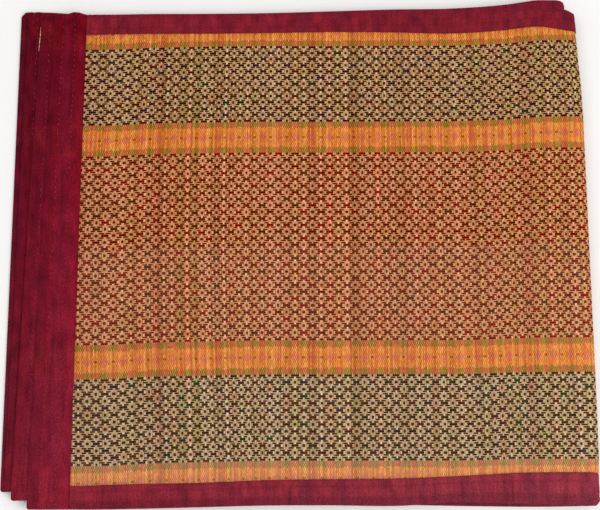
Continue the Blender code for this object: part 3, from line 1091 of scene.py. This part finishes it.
def woven_grass(looks):
    """Split dried reeds, dyed and natural, on cotton warp threads: dry, fibrous and matt."""
    material, tree, shader = new_finish("woven_split_grass", 0.7, 0.0)
    known = work_out(tree, weave_place(tree), REED_AND_THREAD_STEPS)
    for ramp in GRASS_RAMPS:
        known[ramp.name] = add_node(tree, "ShaderNodeValToRGB", [known[ramp.chance]])
        stops = known[ramp.name].node.color_ramp
        stops.interpolation = ramp.interpolation
        for element, (position, code) in zip(stops.elements, (ramp.stops[0], ramp.stops[-1])):
            element.position = position
            element.color = linear_colour(code)
        for position, code in ramp.stops[1:-1]:
            stops.elements.new(position).color = linear_colour(code)
    known.update({name.replace("_", " "): getattr(looks, name) for name in GRASS_COLOURS})
    paint(tree, shader, work_out(tree, known, (*FLOWER_STEPS, *BAND_STEPS, *GRASS_LIGHT_STEPS)))
    return material


def binding_cotton(name, front, back):
    """Thin plain-woven cotton, dyed maroon: soft and matt, uneven from washing, with painted light at the
    front and towards the bend and painted shade at the back.
    """
    material, tree, shader = new_finish(name, 0.85, 0.03)
    shader.inputs["Sheen Weight"].default_value = 0.02
    shader.inputs["Sheen Roughness"].default_value = 0.5
    known = weave_place(tree)
    shade = add_node(tree, "ShaderNodeAttribute", output="Fac", attribute_name=SHADE)
    known.update({"front maroon": front, "back maroon": back, "shade": shade})
    paint(tree, shader, work_out(tree, known, COTTON_STEPS))
    return material


def flecked(name, roughness, specular, stretch, colours):
    """A material that wavers between two colours, as often in a metre as stretch says."""
    material, tree, shader = new_finish(name, roughness, specular)
    known = {"place": add_node(tree, "ShaderNodeTexCoord", output="Object")}
    paint(tree, shader, work_out(tree, known, (
        ("stretched", "STRETCH", "place", stretch),
        ("fleck", "SOLID CLOUDS", "stretched", 1.0, 2.0),
        ("colour", "BLEND", "fleck", *colours),
    )))
    return material


def sewing_thread(name, colour, other):
    """Twisted cotton sewing thread: a fine matt cord, its twist about 0.4 mm long."""
    return flecked(name, 0.8, 0.2, (2500, 2500, 2500), (colour, other))


def dry_straw():
    """A splinter of dried reed: pale, smooth, slightly glossy, in streaks 8 mm long."""
    return flecked("dried_reed", 0.45, 0.4, (2500, 120, 2500), ("#F8DCD0", "#D08A5A"))


def plain_floor(looks):
    """Matt painted board: even, with hardly any grain, mottled every 30 mm or so."""
    return flecked("matt_painted_board", 0.9, 0.1, (30, 30, 30), (looks.floor, "#F3F2F0"))


# Pieces -------------------------------------------------------------------------------


def end_at(end, share):
    """Where an end lies along X, at a share of the way from front to back."""
    return mix(end.at_front, end.at_back, share) * MM


def ends_of(upper, lower, share):
    """Places along the mat of a panel's two ends, at a share of the way from front to back."""
    return mat_upper(end_at(upper, share)), mat_lower(end_at(lower, share))


def faces_up(line):
    """Where the layers of the mat face up."""
    return np.sin(line.bend) > FACES_UP


def panel_sheet(depth, front, ends, bow):
    """Middle of a woven panel: three points to each reed, a row at each zone of the weave."""
    corners = [ends_of(*ends, share) for share in (0.0, 1.0)]
    widest = (min(upper for upper, _ in corners) + END_FLAP, max(lower for _, lower in corners) - END_FLAP)
    numbers = np.interp(widest, REED_MAT, REED_NUMBERS)
    numbers = np.arange(math.ceil(numbers[0]) * REED_STEPS, math.floor(numbers[1]) * REED_STEPS + 1)
    line = line_at(np.interp(numbers / REED_STEPS, REED_NUMBERS, REED_MAT))
    first = getattr(line.row, front) + FRONT_FLAP + REED_CLEARANCE
    last = line.row.back - BACK_FLAP - REED_CLEARANCE
    points, weave = [], []
    for stop in PANEL_STOPS:
        if abs(stop) > 1:
            y = line.row.middle + y_at(stop) * looseness(line)
        else:
            y = mix(first, last, stop)
        share = (y - first) / (last - first)
        upper, lower = ends_of(*ends, share)
        near_upper = 1 - smooth((line.mat - widest[0]) / SLANT_LENGTH)
        near_lower = 1 - smooth((widest[1] - line.mat) / SLANT_LENGTH)
        slant = (upper + END_FLAP - widest[0]) * near_upper + (lower - END_FLAP - widest[1]) * near_lower
        bulge = mix(FRONT_BULGE, bow, smooth(share / BOW_GROWTH)) * smooth((BOW_END - share) / BOW_FADE)
        pull = corner_pull(line.row.back - y) - bulge
        threads = thread_at((y - line.row.middle) / looseness(line))
        moved = line_at(line.mat + slant + drift_at(line, threads))
        points.append(line_points(moved, depth, y, pull))
        weave.append(weave_map(line, y))
    return np.array(points), np.array(weave)


def section_shares(seams, step):
    """Shares of a cloth's width from the hem to its edge, with one at each seam."""
    return np.unique(np.concatenate((spread(0, 1, step), seams)).round(6))


def folded_section(seams):
    """Shares and sides round a cloth's section: over the panel, round the hem, and under."""
    shares = section_shares(seams, SECTION_STEP)
    turn = np.linspace(0, math.pi, EDGE_STEPS + 1)
    over = [(share, 1.0, 0.0) for share in shares[::-1]]
    under = [(share, -1.0, 0.0) for share in shares]
    hem = [(0.0, math.cos(angle), math.sin(angle)) for angle in turn[1:-1]]
    return over + hem + under


def inward_at(share, round_hem, width):
    """Distance in from the hem's outermost line."""
    return HEM - WRAP * round_hem + share * (width - HEM)


def side_sheet(depth, front, ends, droop, open_to_view):
    """Cloth folded over the front edge of one panel, from end cloth to end cloth."""
    upper = mat_upper(ends[0].cloth * MM) + BUTT_GAP
    lower = mat_lower(ends[1].cloth * MM) - BUTT_GAP
    line = line_at(spread_along(upper, lower))
    points, weave = [], []
    section = folded_section(SIDE_SEAMS)
    for share, side, round_hem in section:
        inward = inward_at(share, round_hem, line.row.front_cloth)
        y = getattr(line.row, front) + inward
        inside = (y - line.row.front_outer) / FRONT_FLAP
        pull = mix(-FRONT_BULGE, FRONT_PULL, smooth(1 - inside))
        row = line_points(line, depth - WRAP * side, y, pull)
        row[:, 2] -= droop * smooth(1 - inward / DROOP_LENGTH) * smooth(np.sin(line.bend))
        points.append(row)
        weave.append(weave_map(line, y))
    free = open_to_view * np.array([faces_up(line) * (side == 1.0) for _, side, _ in section], float)
    return Cloth(np.array(points), np.array(weave), section, free)


def over_to_inner(along):
    """Share of the way from the outer panel to the inner one, mostly inside the back fold."""
    return smooth((along + SHEAR_START) / (SHEAR_START + SHEAR_LENGTH))


def back_steps():
    """Places across a cloth near the back fold: over one flap, round the fold, and back."""
    flap = spread(BACK_FLAP, BACK_QUARTER, ACROSS_STEP)[:-1]
    turn = np.linspace(-BACK_QUARTER, BACK_QUARTER, 2 * TURN_STEPS + 1)
    return np.concatenate((-flap, turn, flap[::-1]))


def strip_sheet():
    """The strip that joins the panels, folded over the back edges of both."""
    beyond = section_shares(STRIP_SEAMS, STRIP_SECTION_STEP)[1:]
    section = [(share, 1.0, None) for share in beyond[::-1]]
    section += [(0.0, -np.sign(along), along) for along in back_steps()]
    section += [(share, -1.0, None) for share in beyond]
    first, last = mat_upper(UPPER_OUTER.cloth * MM), mat_lower(LOWER_OUTER.cloth * MM)
    base = (spread_along(first, last) - first) / (last - first)
    points, weave, free = [], [], []
    for share, side, along in section:
        near = -side * BACK_FLAP if along is None else along
        inner = over_to_inner(near)
        upper = mat_upper(mix(UPPER_OUTER.cloth, UPPER_INNER.cloth, inner) * MM) + BUTT_GAP
        lower = mat_lower(mix(LOWER_OUTER.cloth, LOWER_INNER.cloth, inner) * MM) - BUTT_GAP
        line = line_at(mix(upper, lower, base))
        if along is None:
            far = line.row.back_cloth - BACK_REACH + BACK_QUARTER
            along = -side * mix(BACK_FLAP, far, share)
        behind, depth = back_wrap(along, WRAP)
        inward = BACK_REACH - behind
        y = line.row.back - inward
        points.append(line_points(line, depth, y, corner_pull(inward)))
        weave.append(weave_map(line, y))
        free.append(faces_up(line) * (side > 0) * smooth((inward - STRIP_FREE_FROM) / STRIP_FREE_OVER))
    return Cloth(np.array(points), np.array(weave), section, np.array(free))


def rounding(distance, radius):
    """How far a rounded corner draws in, at a distance in from the edge beside it."""
    drawn = radius - np.sqrt(np.clip(distance * (2 * radius - distance), 0, None))
    return np.where(distance < radius, drawn, 0.0)


def end_path(reaches):
    """Places across an end cloth: from one front corner, over the back fold, to the other."""
    return np.concatenate((
        -reaches[0] + CORNER_STEPS,
        -spread(reaches[0] - CORNER_RADIUS, BACK_FLAP, END_STEP)[1:-1],
        back_steps(),
        spread(BACK_FLAP, reaches[1] - CORNER_RADIUS, END_STEP)[1:-1],
        reaches[1] - CORNER_STEPS[::-1],
    ))


def end_sheet(half, bend, outer, inner, covers):
    """Cloth folded over the ends of both panels, itself folded at the back."""
    sample = rows_at(half, np.array([outer.cloth * MM]))
    front_outer, front_inner, back = (
        value.item() for value in (sample.front_outer, sample.front_inner, sample.back)
    )
    reaches = [back - BACK_REACH - edge + BACK_QUARTER for edge in (front_outer, front_inner)]
    path = end_path(reaches)
    over_outer = path < 0
    crown = back_wrap(path, 0.0)[0]
    corner = rounding(np.minimum(path + reaches[0], reaches[1] - path), CORNER_RADIUS)
    corner += rounding(BACK_CORNER_CUT + BACK_TURN - crown, BACK_CORNER_RADIUS)
    share_inner = over_to_inner(path)
    across = 1 + crown / (back - front_outer)
    hem = mix(end_at(outer, across), end_at(inner, across), share_inner) + corner
    width = mix(outer.cloth, inner.cloth, share_inner) * MM - hem
    # A face is free to puff where it looks up from under nothing
    edges = [np.inf if end is None else end_at(end, across) for end in covers]
    cover = np.where(over_outer, *edges)
    points, weave, free = [], [], []
    section = folded_section(END_SEAMS)
    for share, side, round_hem in section:
        inward = inward_at(share, round_hem, width)
        x = hem + inward
        row = rows_at(half, x)
        line = Line(row, bend, mat_upper(x) if bend > 0 else mat_lower(x))
        behind, depth = back_wrap(path, WRAP * side)
        near_back = smooth(1 - np.abs(path) / BACK_EASE)
        y = back - BACK_REACH + behind + (row.back - back) * near_back
        points.append(line_points(line, depth, y))
        weave.append(weave_map(line, y))
        top = np.where(over_outer, side, -side) * np.sign(bend) > 0
        free.append(top * smooth((cover - x) / COVER_EASE) * (abs(side) == 1.0))
    return Cloth(np.array(points), np.array(weave), section, np.array(free, float))


def outward_of(points, free):
    """Unit normals of a grid of points, facing up where the cloth is free."""
    normals = np.cross(np.gradient(points, axis=0), np.gradient(points, axis=1))
    normals /= np.linalg.norm(normals, axis=2, keepdims=True)
    return normals if np.sum(normals[..., 2] * free) >= 0 else -normals


def bump(off):
    """A round bump: 1 in its middle, and next to nothing two widths off."""
    return np.exp(-(off**2))


def crease_marks(x, y):
    """How far each point lies in a crease, and how far on its lips, from 0 to 1."""
    hollow, lips = np.zeros_like(x), np.zeros_like(x)
    for crease in CREASES:
        angle = math.radians(crease.angle)
        dx, dy = x - crease.x * MM, y - crease.y * MM
        along = dx * math.cos(angle) + dy * math.sin(angle)
        off = (dy * math.cos(angle) - dx * math.sin(angle)) / (crease.width * MM)
        fade = np.exp(-((2 * along / (crease.length * MM)) ** 4))
        hollow = np.maximum(hollow, fade * bump(off))
        lips = np.maximum(lips, fade * bump(off - LIP_OFF))
    return hollow, lips


def settled(cloth, seams, looks, seed):
    """A cloth with its gathers between the seams and its creases, its normals and its shade."""
    outward = outward_of(cloth.points, cloth.free)
    shares = np.array([row[0] for row in cloth.section])[:, None]
    gaps = np.diff(cloth.points, axis=1, prepend=cloth.points[:, :1])
    places = np.linalg.norm(gaps, axis=2).cumsum(axis=1)
    hollow, lips = crease_marks(cloth.points[..., 0], cloth.points[..., 1])

    # The strip has no hem: its edges at the back fold are the fold itself
    hem_shade = 0 if seams is STRIP_SEAMS else HEM_SHADE
    shade = 1 - hem_shade * smooth((seams[0] - shares) / HEM_SHADE_EDGE) * np.ones_like(hollow)
    between = np.ones_like(shares)
    for seam in (*seams, 1.0):
        shade = shade - SEAM_SHADE * bump((shares - seam) / SEAM_SHADE_WIDTH)
        between = between * (1 - bump((shares - seam) / PINCH_WIDTH))
    shade = shade - CREASE_SHADE * hollow

    wave = waver(places + GATHER_SLANT * shares, seed, *GATHER_LENGTHS)
    gathers = 1 - GATHER_DEPTH + GATHER_DEPTH * wave
    lift = looks.pucker * gathers * between * mix(HEM_PUFF, 1.0, smooth(shares / HEM_PUFF_WIDTH))
    lift = lift + looks.crease * (LIP_RISE * lips - CREASE_FALL * hollow)
    lifted = cloth.points + outward * (lift * cloth.free)[..., None]
    return cloth._replace(points=lifted), outward, shade


def cloths(looks):
    """Every binding cloth, settled, with its seams and its cotton."""
    outer, inner = (UPPER_OUTER, LOWER_OUTER), (UPPER_INNER, LOWER_INNER)
    drafts = (
        ("centre_strip", STRIP_SEAMS, "side", strip_sheet()),
        ("side_binding_outer", SIDE_SEAMS, "side",
         side_sheet(OUTER_DEPTH, "front_outer", outer, looks.droop, 1.0)),
        ("side_binding_inner", SIDE_SEAMS, "side",
         side_sheet(INNER_DEPTH, "front_inner", inner, 0.0, 0.0)),
        ("end_binding_upper", END_SEAMS, "end",
         end_sheet(UPPER_HALF, QUARTER_TURN, UPPER_OUTER, UPPER_INNER, (None, UPPER_OUTER))),
        # The lower end cloth takes the under cotton, a copy of the end cotton with painted shade
        ("end_binding_lower", END_SEAMS, "under",
         end_sheet(LOWER_HALF, -QUARTER_TURN, LOWER_OUTER, LOWER_INNER, (LOWER_INNER, UPPER_INNER))),
    )
    for seed, (node, seams, cotton, draft) in enumerate(drafts):
        yield Settled(node, *settled(draft, seams, looks, seed + 1.0), seams, cotton)


def declare(piece, node):
    """Ride on the root, and stand for a node: its part is hidden."""
    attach(piece, "root")
    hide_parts(node)


def seam_lines(sewn):
    """Points, edges and normals of a cloth's seams, wherever the cloth is free."""
    vertices, edges, normals = [], [], []
    for index, (share, _, _) in enumerate(sewn.cloth.section):
        if not np.isclose(share, sewn.seams).any():
            continue
        columns = np.flatnonzero(sewn.cloth.free[index] > STITCH_FREE)
        stand = CLOTH_THICKNESS / 2 + STITCH_STAND
        line = sewn.cloth.points[index] + sewn.outward[index] * stand
        for run in np.split(columns, np.flatnonzero(np.diff(columns) > 1) + 1):
            first = len(vertices)
            vertices.extend(line[run])
            normals.extend(sewn.outward[index][run])
            edges.extend((first + step, first + step + 1) for step in range(len(run) - 1))
    return vertices, edges, normals


class MAT_OT_woven_panels(bpy.types.Operator):
    """Weave the outer and the inner panel, reed by reed"""

    bl_idname = "mat.woven_panels"
    bl_label = "Woven panels"

    def execute(self, context):
        looks = context.scene.mat_weave
        grass = woven_grass(looks)
        ribs = reed_rib_tree()
        for node, depth, front, ends, seed in (
            ("panel_outer", OUTER_DEPTH, "front_outer", (UPPER_OUTER, LOWER_OUTER), 5),
            ("panel_inner", INNER_DEPTH, "front_inner", (UPPER_INNER, LOWER_INNER), 8),
        ):
            points, weave = panel_sheet(depth, front, ends, looks.bow)
            wall = PANEL_THICKNESS - RIB_ROOM * looks.reed_height
            bent = sheet_object("bent_" + node, points, weave, wall, grass)
            grow(bent, "Reeds", ribs, {
                "Reed height": looks.reed_height, "Unevenness": looks.unevenness,
                "Seed": seed, "Material": grass,
            })
            piece = made_plain(bent, "woven_" + node)
            length = float(np.linalg.norm(np.diff(points[MIDDLE_ROW], axis=0), axis=1).sum())
            declare(piece, node)
        return {"FINISHED"}


class MAT_OT_binding_cloths(bpy.types.Operator):
    """Fold the binding cloths over the panels' edges"""

    bl_idname = "mat.binding_cloths"
    bl_label = "Binding cloths"

    def execute(self, context):
        looks = context.scene.mat_cloth
        cottons = {
            name: binding_cotton(material, front, back)
            for name, material, front, back in (
                ("side", "plain_woven_cotton", looks.front_maroon_painted_light, looks.back_maroon_painted_shade),
                ("end", "plain_woven_cotton_deep", looks.end_front_maroon_painted_light, looks.end_back_maroon_painted_shade),
                # The under cotton is the end cotton darker: painted shade on the lower layer
                ("under", "plain_woven_cotton_deepest",
                 looks.under_front_maroon_painted_shade, looks.under_back_maroon_painted_shade),
            )
        }
        for sewn in cloths(looks):
            points, weave = sewn.cloth.points, sewn.cloth.weave
            cotton = cottons[sewn.cotton]
            bent = sheet_object(
                "bent_" + sewn.node, points, weave, CLOTH_THICKNESS, cotton, sewn.shade
            )
            piece = made_plain(bent, sewn.node + "_cloth")
            steps = [np.linalg.norm(np.diff(points, axis=axis), axis=2) for axis in (0, 1)]
            sides = [float(step.sum(axis=axis).mean()) for axis, step in enumerate(steps)]
            declare(piece, sewn.node)
        return {"FINISHED"}


class MAT_OT_seams(bpy.types.Operator):
    """Sew the cloths down with running stitches, where they can be seen"""

    bl_idname = "mat.seams"
    bl_label = "Seams"

    def execute(self, context):
        looks = context.scene.mat_cloth
        end_cord = sewing_thread("twisted_cotton_thread", looks.end_thread, looks.end_front_maroon_painted_light)
        side_cord = sewing_thread("twisted_cotton_thread_dark", looks.side_thread, looks.front_maroon_painted_light)
        stitches = stitch_tree()
        for seed, sewn in enumerate(cloths(looks)):
            vertices, edges, normals = seam_lines(sewn)
            if not edges:
                continue
            lines = mesh_object("seam_lines", vertices, edges)
            store(lines.data, OUTWARD, "FLOAT_VECTOR", "vector", normals)
            grow(lines, "Stitches", stitches, {
                "Pitch": looks.stitch_pitch, "Length": looks.stitch_length,
                "Width": looks.thread_width, "Unevenness": STITCH_UNEVENNESS, "Seed": seed + 11,
                "Material": side_cord if sewn.cotton == "side" else end_cord,
            })
            piece = made_plain(lines, sewn.node + "_stitches")
            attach(piece, "root")
        return {"FINISHED"}


class MAT_OT_loose_straw(bpy.types.Operator):
    """Leave one loose straw on the end cloth"""

    bl_idname = "mat.loose_straw"
    bl_label = "Loose straw"

    def execute(self, context):
        looks = context.scene.mat_weave
        start, end = Vector(STRAW_START), Vector(STRAW_END)
        vertices, faces = [], []
        # It wavers, is thin where fibres have split off, and tapers at both tips
        for ring in range(STRAW_RINGS + 1):
            share = ring / STRAW_RINGS
            middle = start.lerp(end, share) + Vector((STRAW_WAVER * math.sin(5 * share), 0, 0))
            thin = 0.6 + 0.4 * math.cos(9 * share) * math.cos(31 * share)
            taper = math.sin(math.pi * min(max(share, 0.03), 0.97)) ** 0.4
            radius = looks.straw_width / 2 * thin * taper
            for side in range(STRAW_SIDES):
                angle = 2 * math.pi * side / STRAW_SIDES
                vertices.append(middle + Vector((math.cos(angle), 0, 0.5 * math.sin(angle))) * radius)
        for near in range(0, STRAW_RINGS * STRAW_SIDES, STRAW_SIDES):
            far = near + STRAW_SIDES
            for side in range(STRAW_SIDES):
                turn = (side + 1) % STRAW_SIDES
                faces.append((near + side, near + turn, far + turn, far + side))
        faces.append(tuple(reversed(range(STRAW_SIDES))))
        faces.append(tuple(range(STRAW_RINGS * STRAW_SIDES, len(vertices))))
        piece = mesh_object("loose_straw", vertices, faces=faces, material=dry_straw())
        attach(piece, "root")
        return {"FINISHED"}


class MAT_OT_stage(bpy.types.Operator):
    """Set a plain pale floor, soft light and the camera"""

    bl_idname = "mat.stage"
    bl_label = "Stage"

    def execute(self, context):
        looks = context.scene.mat_stage
        scene = context.scene
        corners = [
            (x * FLOOR_REACH, y * FLOOR_REACH, -FLOOR_DROP) for x, y in ((-1, -1), (1, -1), (1, 1), (-1, 1))
        ]
        floor = mesh_object("floor", corners, faces=[(0, 1, 2, 3)], material=plain_floor(looks))

        world = bpy.data.worlds.new("soft_room")
        world.use_nodes = True
        background = world.node_tree.nodes["Background"]
        background.inputs["Color"].default_value = (1, 1, 1, 1)
        background.inputs["Strength"].default_value = ROOM_LIGHT
        scene.world = world
        target = Vector(LOOK_AT)
        for lamp in LAMPS:
            light = bpy.data.lights.new(lamp.name, "AREA")
            light.energy = looks.key_power * lamp.share
            light.size = lamp.size
            hung = linked(lamp.name, light)
            hung.location = lamp.place
            hung.rotation_euler = (target - Vector(lamp.place)).to_track_quat("-Z", "Y").to_euler()

        camera = bpy.data.cameras.new("camera")
        camera.sensor_fit = "HORIZONTAL"
        camera.sensor_width = SENSOR_WIDTH
        camera.lens = looks.lens
        view = linked("camera", camera)
        lift = Vector((0, -math.cos(looks.elevation), math.sin(looks.elevation)))
        view.location = target + lift * looks.distance
        view.rotation_euler = (QUARTER_TURN - looks.elevation, 0, 0)
        scene.camera = view
        scene.view_settings.view_transform = "Standard"
        return {"FINISHED"}


class MAT_PT_pieces(bpy.types.Panel):
    """Pieces of the folded mat"""

    bl_label = "Folded grass mat"
    bl_idname = "MAT_PT_pieces"
    bl_space_type = "VIEW_3D"
    bl_region_type = "UI"
    bl_category = "Mat"

    def draw(self, context):
        for operator in OPERATORS:
            self.layout.operator(operator.bl_idname)
        for group in ("mat_weave", "mat_cloth", "mat_stage"):
            settings = getattr(context.scene, group)
            box = self.layout.box()
            for setting in settings.bl_rna.properties:
                if setting.identifier not in ("rna_type", "name"):
                    box.prop(settings, setting.identifier)


OPERATORS = (
    MAT_OT_stage, MAT_OT_woven_panels, MAT_OT_binding_cloths, MAT_OT_seams, MAT_OT_loose_straw
)
SETTINGS = (
    ("mat_weave", MatWeaveSettings), ("mat_cloth", MatClothSettings), ("mat_stage", MatStageSettings)
)


def register():
    for group, settings in SETTINGS:
        bpy.utils.register_class(settings)
        setattr(bpy.types.Scene, group, bpy.props.PointerProperty(type=settings))
    for kind in (*OPERATORS, MAT_PT_pieces):
        bpy.utils.register_class(kind)


def unregister():
    for kind in (MAT_PT_pieces, *reversed(OPERATORS)):
        bpy.utils.unregister_class(kind)
    for group, settings in reversed(SETTINGS):
        delattr(bpy.types.Scene, group)
        bpy.utils.unregister_class(settings)


def main():
    register()
    bpy.ops.mat.stage()
    bpy.ops.mat.woven_panels()
    bpy.ops.mat.binding_cloths()
    bpy.ops.mat.seams()
    bpy.ops.mat.loose_straw()


if __name__ == "__main__":
    main()
